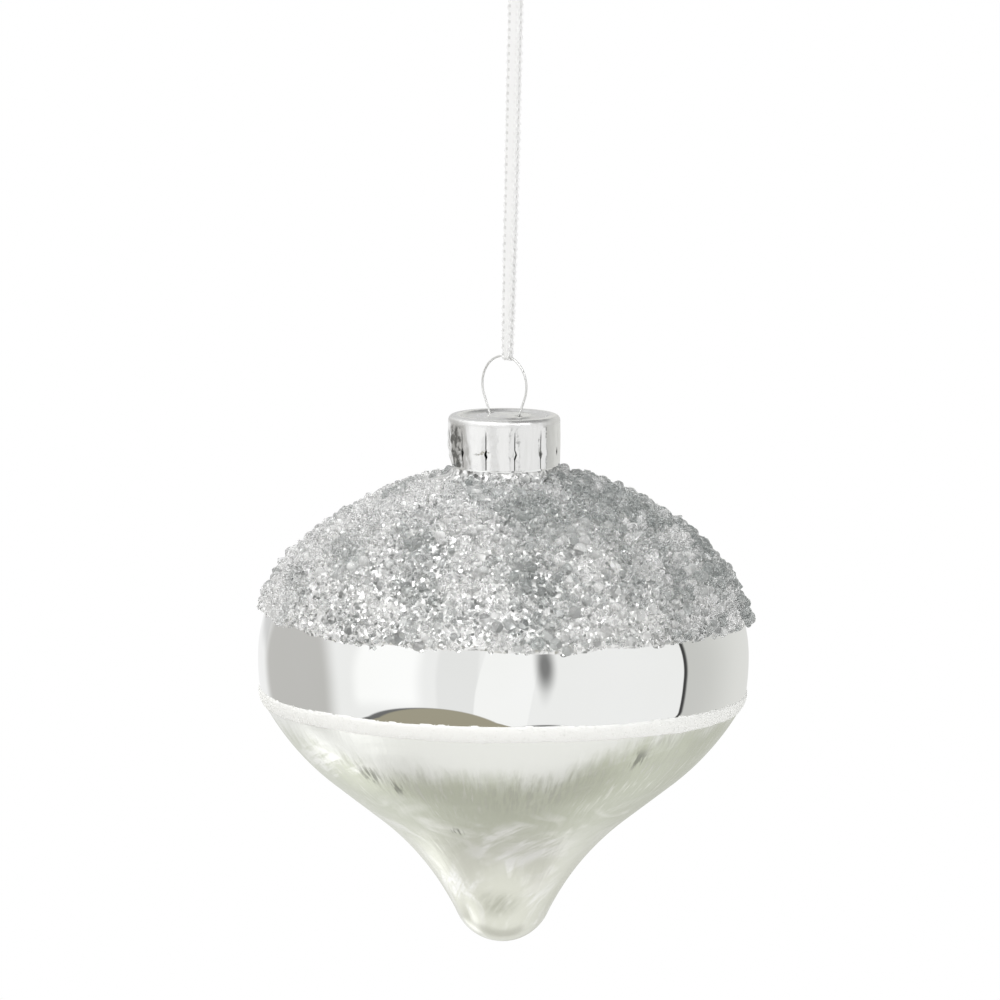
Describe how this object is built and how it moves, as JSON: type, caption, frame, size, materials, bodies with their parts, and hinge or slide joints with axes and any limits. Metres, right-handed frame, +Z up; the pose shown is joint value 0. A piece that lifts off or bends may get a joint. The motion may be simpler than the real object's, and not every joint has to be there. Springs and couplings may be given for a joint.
{
  "type": "hanging ornament",
  "caption": "Blown-glass drop ornament with a beaded domed shoulder, mirrored waist band and frosted finial, under a slitted metal cap, wire loop and narrow ribbon loop.",
  "frame": {"origin": "hanging point: inside top of the ribbon loop, just under the knot, on the ornament's axis", "axes": "+Z up along the ornament's axis and the ribbon; +X along the wire loop, through both of its legs; -Y towards the viewer of the loop's face"},
  "size_m": [0.0818, 0.0827, 0.1927],
  "materials": {
    "clear_glass": "polished",
    "silvering": "mirror",
    "frost_lacquer": "pearly satin",
    "white_glitter": "glitter",
    "silver_glitter_glue": "glitter",
    "clear_beads": "polished",
    "cap_metal": "bright pressed sheet",
    "hanger_wire": "drawn wire",
    "ribbon_fabric": "satin weave",
    "ribbon_cord": "twisted thread"
  },
  "bodies": {
    "upper_ribbon": {"ribbon_top": "ribbon_fabric", "top_cords": "ribbon_cord"},
    "lower_ribbon": {"ribbon_strands": "ribbon_fabric", "strand_cords": "ribbon_cord"},
    "ribbon_fold": {"ribbon_bight": "ribbon_fabric", "bight_cords": "ribbon_cord"},
    "hanger": {"wire_hanger": "hanger_wire"},
    "cap": {"cap_crown": "cap_metal"},
    "ornament": {"glass_shell": "clear_glass", "silver_lining": "silvering", "frost_coat": "frost_lacquer", "glitter_band": "white_glitter", "bead_adhesive": "silver_glitter_glue", "round_beads": "clear_beads", "seed_beads": "clear_beads", "glass_chips": "clear_beads"}
  },
  "joints": [
    {"name": "ribbon_twist", "type": "hinge", "parent": "upper_ribbon", "child": "lower_ribbon", "pos_m": [0, 0, -0.0376], "axis": [0, 0, 1], "range_deg": [-175, 175]},
    {"name": "ribbon_swing", "type": "hinge", "parent": "lower_ribbon", "child": "ribbon_fold", "pos_m": [0, 0, -0.085], "axis": [1, 0, 0], "range_deg": [-110, 110]},
    {"name": "loop_slip", "type": "hinge", "parent": "ribbon_fold", "child": "hanger", "pos_m": [0, 0, -0.08985], "axis": [0, 1, 0], "range_deg": [-60, 60]},
    {"name": "loop_rock", "type": "hinge", "parent": "hanger", "child": "cap", "pos_m": [0, 0, -0.0948], "axis": [1, 0, 0], "range_deg": [-15, 15]},
    {"name": "cap_pull", "type": "slide", "parent": "cap", "child": "ornament", "axis": [0, 0, -1], "range_m": [0, 0.02]}
  ]
}
